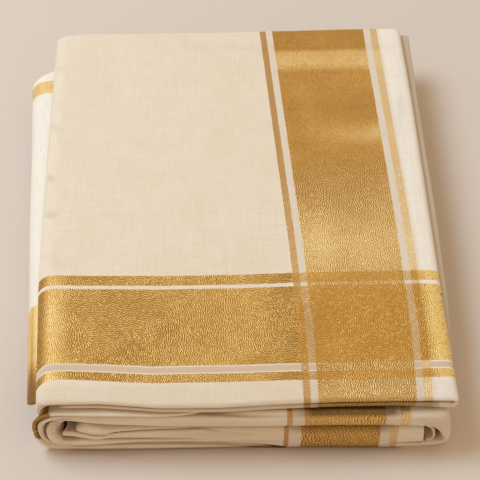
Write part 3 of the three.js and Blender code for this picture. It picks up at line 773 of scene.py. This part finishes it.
# Troughs of the top: a path of (x, distance behind the front), and the width and depth at its points.
TOP_CREASES = [
    ([(-139, 352), (-130, 344), (-122, 338)], [2.4, 3, 5], [0.8, 0.7, 0.0]),
    ([(-139, 283), (-131, 276), (-120, 269)], [2.4, 3, 5], [0.9, 0.7, 0.0]),
    ([(-140, 229), (-135, 223), (-128, 217)], [2.2, 2.8, 4], [1.4, 1.3, 0.0]),
    ([(-140, 190), (-134, 186), (-126, 184)], [2.2, 2.8, 4], [1.5, 1.4, 0.0]),
    ([(-140, 148), (-127, 139), (-106, 136)], [3, 6, 8], [0.5, 0.4, 0.0]),
    ([(-40, 366), (40, 362), (120, 361), (141, 360)], [4, 3, 2.4, 3], [0.0, 0.5, 0.6, 0.3]),
    ([(30, 334), (90, 333.5), (128, 336)], [2.5, 2.2, 2.5], [0.0, 0.5, 0.2]),
    ([(140, 300), (133, 262), (92, 255)], [4, 5, 7], [0.6, 0.4, 0.0]),
]


def pallu_relief(p):
    """The top lies in slow waves, with troughs, and painted shade in the troughs."""
    x, z = p[..., 0], p[..., 2]
    behind = p[..., 1] - FRONT
    above = smooth(z, 46.6, 48.5)
    soft = (0.22 * np.sin(x / 23.0 + 0.7) * np.sin(behind / 41.0 + 1.1)
            + 0.16 * np.sin(x / 57.0 + behind / 39.0 + 2.0) + 0.10 * np.sin(x / 11.0 - behind / 27.0))
    total = (soft - 0.25) * above
    crease_shade = np.zeros(x.shape)
    for points, width, depth in TOP_CREASES:
        trough = crease(p, on_top(points), width, depth) * above
        total = total + trough
        crease_shade = np.maximum(crease_shade, -0.3 * trough)
    return total, crease_shade


def roll_front(x, z):
    """The left roll's front leans back: its upper arm lies in fold A, and its lower arm in fold B."""
    share = smooth(z, 13, 32)
    return front_at("fold_b", x) * (1 - share) + front_at("fold_a", x) * share


def right_front(x, z):
    return front_at("fold_a", x) + 3.2 * (1 - smooth(z, 3, 14))


def front_lines(lines):
    """Relief of the front face: soft troughs given by (x, z) paths, with their width and depth, and painted
    shade in the troughs.
    """
    def relief(p):
        face = p * [1, 0, 1]
        near = 1 - smooth(p[..., 1], FRONT + 14, FRONT + 24)
        total = 0.0
        for points, width, depth in lines:
            total = total + crease(face, [(x, 0.0, z) for x, z in points], width, depth) * near
        return total, np.clip(-0.6 * total, 0, 1)
    return relief


fold_a_relief = front_lines([
    ([(96, 27), (97, 31), (95, 37)], [1.8, 1.8, 1.8], [0.2, 0.25, 0.1]),
    ([(104, 35.5), (121, 34.6), (132, 33.0)], [1.2, 1.4, 1.2], [0.0, 0.35, 0.1]),
    ([(-60, 32), (-20, 33.5), (20, 32)], [2.6, 3.0, 2.6], [0.0, 0.35, 0.0]),
])
fold_b_relief = front_lines([
    ([(-60, 20.5), (-20, 19.5), (30, 20.5)], [2.6, 3.0, 2.6], [0.0, 0.45, 0.0]),
    ([(-30, 12.8), (4, 11.5), (30, 11.0)], [1.6, 1.8, 2.0], [0.0, 0.5, 0.0]),
    ([(98, 5.6), (108, 5.0), (121, 6.6)], [0.7, 0.7, 0.8], [0.0, 0.4, 0.5]),
])
roll_relief = front_lines([
    ([(-136.4, 29.6), (-132, 30.2), (-127.4, 31.6)], [0.6, 0.7, 0.6], [0.2, 0.8, 0.5]),
    ([(-136.6, 27.0), (-132, 27.4), (-127.0, 28.6)], [0.6, 0.7, 0.6], [0.3, 1.0, 0.7]),
    ([(-136.4, 24.0), (-132, 24.4), (-128.6, 25.6)], [0.6, 0.7, 0.6], [0.2, 0.8, 0.5]),
    ([(-136.0, 20.6), (-132.5, 21.0), (-129.6, 21.6)], [0.6, 0.7, 0.6], [0.2, 0.7, 0.5]),
    ([(-131, 33.6), (-124, 34.0), (-112, 33.8)], [0.8, 0.8, 0.9], [0.5, 0.7, 0.0]),
    ([(-131, 14.2), (-126, 12.0), (-116, 11.2), (-104, 12.4)], [0.7, 0.8, 0.8, 0.9], [0.2, 0.6, 0.5, 0.0]),
])


def side_lines(lines):
    """Relief of a side: soft troughs at x along (distance behind the front, z) paths, and painted shade in
    the troughs.
    """
    def relief(p):
        total = 0.0
        for x, points, width, depth in lines:
            path = [(x, FRONT + behind, z) for behind, z in points]
            total = total + crease(p, path, width, depth)
        return total, np.clip(-0.2 * total, 0, 1)
    return relief


wrap_relief = side_lines([
    (-146, [(30, 30), (110, 27), (200, 29)], [2.5, 3, 3], [0.0, 0.5, 0.0]),
    (-145, [(180, 16), (260, 13), (350, 17)], [2.5, 3, 3], [0.0, 0.6, 0.2]),
    (-146, [(300, 27), (340, 24), (378, 26)], [2, 2.4, 2], [0.0, 0.5, 0.5]),
])
flap_relief = side_lines([
    (-149, [(60, 37), (120, 33), (170, 30)], [3, 4, 3], [0.0, 0.6, 0.0]),
    (-151, [(190, 27), (260, 31), (310, 36)], [3, 4, 3], [0.0, 0.7, 0.2]),
    (-151, [(318, 22), (330, 30), (336, 38)], [2.5, 3, 3], [0.3, 0.5, 0.2]),
])
right_roll_relief = side_lines([
    (141, [(10, 33), (60, 31), (150, 33)], [1.6, 2, 2], [0.4, 0.6, 0.0]),
    (141, [(120, 22), (220, 19), (330, 23)], [2.4, 3, 2.4], [0.0, 0.7, 0.3]),
    (140.5, [(250, 9), (320, 8), (380, 10)], [2, 2.4, 2], [0.0, 0.6, 0.5]),
    (141, [(330, 31), (360, 28), (384, 30)], [2, 2, 2], [0.0, 0.6, 0.4]),
])


# ---- the packet
def bend_pallu(x, z, y):
    """Toward the back the top ply is drawn in at the left and reaches out at the right. Its left edge
    hangs down in full at the front alone, where its lower ply sinks and its top tilts down."""
    inward = 11.0 * ramp(y, FRONT + 110, BACK) ** 1.4 * ramp(x, -100, -128)
    hanging = np.where((x < -128) & (z < TUCKED), TUCKED - z, 0.0)
    ahead = 1 - smooth(y, FRONT + 10, FRONT + 16)
    sink = np.interp(x, [-75, -20, 110, 128, 140], [0.0, 1.4, 1.6, 3.2, 3.8])
    droop = sink * ahead * ramp(z, TUCKED, RETURN_LOW)
    away = ramp(y - front_at("pallu", x), 0, 17)
    tilt = 1.7 * (1 - away) ** 1.5 * smooth(z, 46.4, 51)
    outward_right = 3.4 * ramp(x, 126, 141) * smooth(y, FRONT + 20, FRONT + 330)
    return x + inward + outward_right, z + hanging * 0.72 * smooth(y, FRONT + 15.5, FRONT + 20) - droop - tilt


def draw_in(x, y):
    """The left side is drawn in behind its front edge, and again toward the back."""
    behind = y - FRONT
    near = 4.5 * smooth(behind, 12, 19) * (1 - smooth(behind, 45, 105))
    return (near + 13.0 * smooth(behind, 285, 365)) * ramp(x, -104, -132)


def wrap_front(x, z):
    """The bottom ply keeps to the packet's front, while the top ply draws back to the right."""
    above = np.minimum(front_at("thin", x), FRONT + np.where(x < -100, 12.0, 99.0))
    below = FRONT + np.interp(x, [-135, -118, -100, -60, -20, 20, 30], [11.0, 9.6, 8.6, 7.6, 7.2, 6.6, 6.4])
    return np.where(z > 20, above, below)


def bend_flap(x, z, y):
    """The drooping edge lies 2 mm further in at the front."""
    return x + 2 * ramp(x, -136, -149) * (1 - ramp(y, FRONT + 20, FRONT + 250)), z


# Where the border's edges show on the under plies, as x, from the left.
A_EDGES = [-140, 27.2, 30.8, 39.6, 94.7, 104.8, 111.4, 114]
B_EDGES = [-140, 25.8, 28.6, 38.0, 91.6, 99.5, 103.8, 106]
WRAP_EDGES = [-140, 30.0, 34.0, 42.0, 104.0, 110.0, 115.0, 118]


def bend_side(x, z, y):
    return x + draw_in(x, y), z


def flap_front(x, z):
    return FRONT + 21 + 13 * (1 - smooth(z, 20, 42)) + 12 * (1 - smooth(z, 17, 27))


def flap_back(x, z):
    return BACK - 35 - 7 * ramp(x, -132, -148)


def flap_shade(x, z, behind):
    return 0.7 * (1 - smooth(behind, 28, 47)) * ramp(x, -132, -138)


def flap_zone(x, z, behind):
    """Gold at the front, as in the cross band, and cream after it but for the bar."""
    return np.where(behind < FLAP_GOLD_END, IN_BAND, np.where(behind > 140, behind, FAR_BEHIND))


# Painted sheen and shade of the flap's gold: dark at its front end, brightest further back, with darker bands
# low down.
def flap_sheen(x, z, behind):
    low = 0.34 * (1 - ramp(z, 30, 36)) + 0.5 * bump(z, 38.5, 2.6) * (behind < 130)
    return np.interp(behind, [21, 36, 48, 60, 98, 109, 320], [0.0, 0.08, 0.45, 1.0, 1.2, 1.3, 0.85]) - low


def flap_grain(x, z, behind):
    return 0.6 - 0.5 * smooth(behind, 105, 140)


def wrap_zone(x, z, behind):
    """Gold on the left side near the front, as on the flap above it."""
    return np.where((x < -132.5) & (z > 13) & (z < 41) & (behind < 110), IN_BAND, FAR_BEHIND)


# Where the bottom ply gets painted shade behind its front edge.
def wrap_rim(x, z):
    above_floor = z > np.interp(x, [-98, -10, 28], [5.0, 3.4, 0.7])
    return 1.3 * (above_floor & (z < 20) & (x > -124))


# Lines in which plies meet at the front, as (x, z) tables, and the painted shade along them.
LINE_TOP = ([-98, -90, -73, -30], [37.5, 37.9, 38.8, 38.8])
LINE_TWO = ([-98, -94, -86, -73, -45, -30], [21.2, 23.6, 24.5, 24.8, 24.9, 24.7])
LINE_FIVE = (
    [-126, -117.5, -109, -98, -73, -45, -18, 7.5, 28], [8.8, 8.0, 8.5, 9.7, 10.2, 9.5, 7.8, 4.9, 1.4])


def line_shade(line, x, z, behind, half, strength, ends):
    """Painted shade within `half` of a line; `ends` are the places where it starts, is full, is full and
    ends.
    """
    along = ramp(x, ends[0], ends[1]) * ramp(x, ends[3], ends[2])
    return strength * bump(z, np.interp(x, *line), half) * along * (behind < FACE_DEPTH)


# Painted shade of each piece: in the gold stripes of the front folds under the ply above, along the lines
# where plies meet, at the foot as a contact shadow, on the right side and inside the rolls.
def fold_a_shade(x, z, behind):
    gold = ramp(x, 25, 44) * ramp(x, 116, 100) * (behind < FACE_DEPTH)
    shade_in_gold = gold * (0.8 * ramp(z, 37.2, 39.2) + 0.35 * ramp(z, 28.6, 26.5))
    top = line_shade(LINE_TOP, x, z, behind, 1.5, 0.6, (-99, -97, 0, 40))
    return shade_in_gold + 0.14 * ramp(x, 108, 118) + top


def fold_b_shade(x, z, behind):
    face = behind < FACE_DEPTH
    gold = ramp(x, 22, 40) * ramp(x, 106, 92) * face
    shade_in_gold = gold * (0.5 * ramp(z, 19.5, 22.5) + 0.4 * ramp(z, 10, 5))
    second = line_shade(LINE_TWO, x, z, behind, 1.1, 0.85, (-97, -88, -40, -22))
    fifth = line_shade(LINE_FIVE, x, z - 0.9, behind, 1.3, 0.7, (-127, -123, 20, 28))
    return 0.04 + shade_in_gold + ramp(z, 4.2, 1.4) * face + second + fifth


def wrap_shade(x, z, behind):
    low = ramp(z, 4.0, 1.4) * (behind < FACE_DEPTH) * ramp(x, -128, -118)
    fifth = line_shade(LINE_FIVE, x, z + 2.2, behind, 1.5, 0.6, (-130, -123, 20, 28))
    return low + 0.20 * (x > 100) * (z > 30) + fifth


def roll_shade(x, z, behind):
    inside = inside_of(x, z, behind, (-130, 12.5), (-90, 31.5), 10, 0.62)
    return inside + line_shade(LINE_FIVE, x, z - 1.0, behind, 1.3, 0.7, (-127, -123, 20, 28))


def right_roll_shade(x, z, behind):
    return 0.14 * ramp(z, 18, 26) + inside_of(x, z, behind, (120, 5.5), (135, 24), 5, 0.5)


pieces = {}
pieces["pallu_panel"] = band(
    "pallu", PALLU_SECTION, lambda x, z: front_at("pallu", x), BACK - 1, pallu_coordinates,
    bend=bend_pallu, coarse=(18, 19, 20), relief=pallu_relief)
pieces["left_flap"] = band(
    "flap", FLAP_SECTION, flap_front, flap_back,
    plain_coordinates(flap_sheen, gold_zone=flap_zone, plain=170.0, shade=flap_shade, grain=flap_grain),
    bend=bend_flap, coarse=(0,), relief=flap_relief, open_ends=(False, True))
pieces["right_ply"] = band(
    "right_edge_ply", RIGHT_PLY_SECTION, FRONT + 19, BACK,
    plain_coordinates(across_edges=WRAP_EDGES, shade=0.36),
    bend=lambda x, z, y: (to_reach(x, y, 0), z), coarse=(0,), open_ends=(False, True))
pieces["outer_wrap"] = band(
    "outer_wrap_ply", OUTER_WRAP_SECTION, wrap_front, BACK - 3,
    plain_coordinates(0.02, across_edges=WRAP_EDGES, gold_zone=wrap_zone, shade=wrap_shade),
    bend=lambda x, z, y: (to_reach(x, y, 3.2) + draw_in(x, y), z), coarse=(1, 2, 3), relief=wrap_relief,
    nose=WRAP_NOSE, rim=wrap_rim)
pieces["second_wrap"] = band(
    "second_wrap_ply", SECOND_WRAP_SECTION, FRONT + 10.5, BACK - 6, plain_coordinates(shade=0.10),
    bend=bend_side, spacing=1.6, step=3.0, rim=lambda x, z: 0.6 * (z < 36))
pieces["left_roll"] = band(
    "left_roll_cloth", LEFT_ROLL_SECTION, roll_front, BACK - 5, plain_coordinates(shade=roll_shade),
    bend=bend_side, spacing=0.7, step=3.6, relief=roll_relief, open_ends=(False, False),
    rim=lambda x, z: 0.8 * ((z > 33) & (x > -130) | (z > 12) & (z < 17) & (x > -126)))
pieces["hollow_ply"] = band(
    "hollow_cloth", HOLLOW_UPPER_SECTION, lambda x, z: front_at("fold_b", x) + 4 * ramp(x, -104, -119),
    BACK - 9, plain_coordinates(), bend=bend_side, spacing=1.2, step=4.0, open_ends=(False, True),
    more=[HOLLOW_LOWER_SECTION], rim=lambda x, z: 0.8 * ((z > 19.3) & (z < 21.1)) + 0.15 * (z > 26.8))
pieces["fold_a"] = bundle(
    "fold_a_cloth", FOLD_A_STACK, "fold_a", BACK - 4, 6,
    plain_coordinates(0.6, across_edges=A_EDGES, grain=1.6, fine=FOLD_FINE, shade=fold_a_shade),
    fold_a_relief, crown=FOLD_A_CROWN)
pieces["fold_b"] = bundle(
    "fold_b_cloth", FOLD_B_STACK, "fold_b", BACK - 5.5, 10,
    plain_coordinates(0.36, across_edges=B_EDGES, grain=1.8, fine=FOLD_FINE, shade=fold_b_shade),
    fold_b_relief)
pieces["right_roll"] = band(
    "right_roll_cloth", RIGHT_ROLL_SECTION, right_front, BACK - 4,
    plain_coordinates(shade=right_roll_shade), spacing=1.4, step=3.0, relief=right_roll_relief,
    open_ends=(False, True))
pieces["right_inner_ply"] = band(
    "right_inner_cloth", RIGHT_INNER_SECTION, FRONT + 4.5, BACK - 8, plain_coordinates(),
    spacing=1.2, step=5.0)

# Each piece rides on the root body, and its part from model.glb is hidden.
for node, piece in pieces.items():
    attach(piece, "root")
    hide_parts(node)

# ---- stage, light and camera
FLOOR_HALF, FLOOR_Z = 3, -0.0001
corners = [(x * FLOOR_HALF, y * FLOOR_HALF, FLOOR_Z) for x, y in ((-1, -1), (1, -1), (1, 1), (-1, 1))]
floor = new_object("floor", np.array(corners), [(0, 1, 2, 3)], {}, floor_material(), [True])

view = bpy.context.scene
light = bpy.data.lights.new("key", "AREA")
light.shape, light.size, light.energy, light.color = "DISK", 1.25, 38.0, (0.60, 0.79, 1.0)
key = bpy.data.objects.new("key", light)
key.location = (-1.15, 0.42, 1.95)
key.rotation_mode = "QUATERNION"
key.rotation_quaternion = (-key.location).to_track_quat("-Z", "Y")
view.collection.objects.link(key)

world = bpy.data.worlds.new("studio")
world.use_nodes = True
backdrop = world.node_tree.nodes["Background"]
backdrop.inputs["Color"].default_value = (0.65, 0.53, 0.40, 1.0)
backdrop.inputs["Strength"].default_value = 1.0
view.world = world
view.view_settings.view_transform = "Standard"

# The camera looks at a point of the floor. The point and the distance are in the frame's millimetres.
PITCH, YAW, ROLL = math.radians(48.0), math.radians(4.934), math.radians(2.2)
TARGET, DISTANCE = (5.38, 9.138, 0), 1379.114
LENS, SENSOR = 135.0, 36.0
forward = Vector((math.sin(YAW) * math.cos(PITCH), math.cos(YAW) * math.cos(PITCH), -math.sin(PITCH)))
level = Vector((math.cos(YAW), -math.sin(YAW), 0))
upright = level.cross(forward)
right = level * math.cos(ROLL) + upright * math.sin(ROLL)
up = upright * math.cos(ROLL) - level * math.sin(ROLL)
place = Vector(TARGET) * MM - forward * DISTANCE * MM
lens = bpy.data.cameras.new("camera")
lens.lens, lens.sensor_width = LENS, SENSOR
lens.clip_start, lens.clip_end = 0.05, 20.0
camera = bpy.data.objects.new("camera", lens)
camera.matrix_world = Matrix((
    (right.x, up.x, -forward.x, place.x), (right.y, up.y, -forward.y, place.y),
    (right.z, up.z, -forward.z, place.z), (0, 0, 0, 1)))
view.collection.objects.link(camera)
bpy.context.scene.camera = camera
